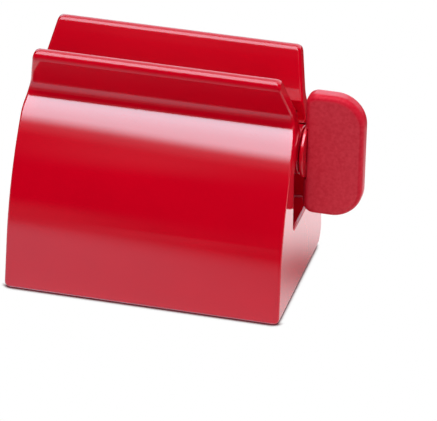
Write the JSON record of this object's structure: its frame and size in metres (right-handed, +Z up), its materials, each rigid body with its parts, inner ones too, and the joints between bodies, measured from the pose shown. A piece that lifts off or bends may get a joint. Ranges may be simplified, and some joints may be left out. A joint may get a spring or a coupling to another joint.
{
  "type": "toothpaste tube squeezer",
  "caption": "Free-standing tube squeezer: a moulded housing with a lipped slot on top, and a key with a split shaft and flat handle that turns and pulls out.",
  "frame": {"origin": "on the surface that the housing stands on, under the middle of the whole part's box", "axes": "+X along the key's axis, from the closed end of the housing to the handle; +Y from the front wall to the rear wall; +Z up"},
  "size_m": [0.079, 0.043, 0.0556],
  "materials": {
    "housing": "polished red moulding",
    "winding_shaft": "smooth red moulding",
    "collar": "polished red moulding",
    "handle": "finely textured red moulding"
  },
  "bodies": {
    "housing": {"housing": "housing"},
    "key_slide": {"collar": "collar"},
    "key": {"winding_shaft": "winding_shaft", "handle": "handle"}
  },
  "joints": [
    {"name": "key_pull", "type": "slide", "parent": "housing", "child": "key_slide", "axis": [1, 0, 0], "range_m": [0, 0.066]},
    {"name": "key_turn", "type": "hinge", "parent": "key_slide", "child": "key", "pos_m": [0.02586, 0.00024, 0.0342], "axis": [1, 0, 0], "continuous": true}
  ]
}
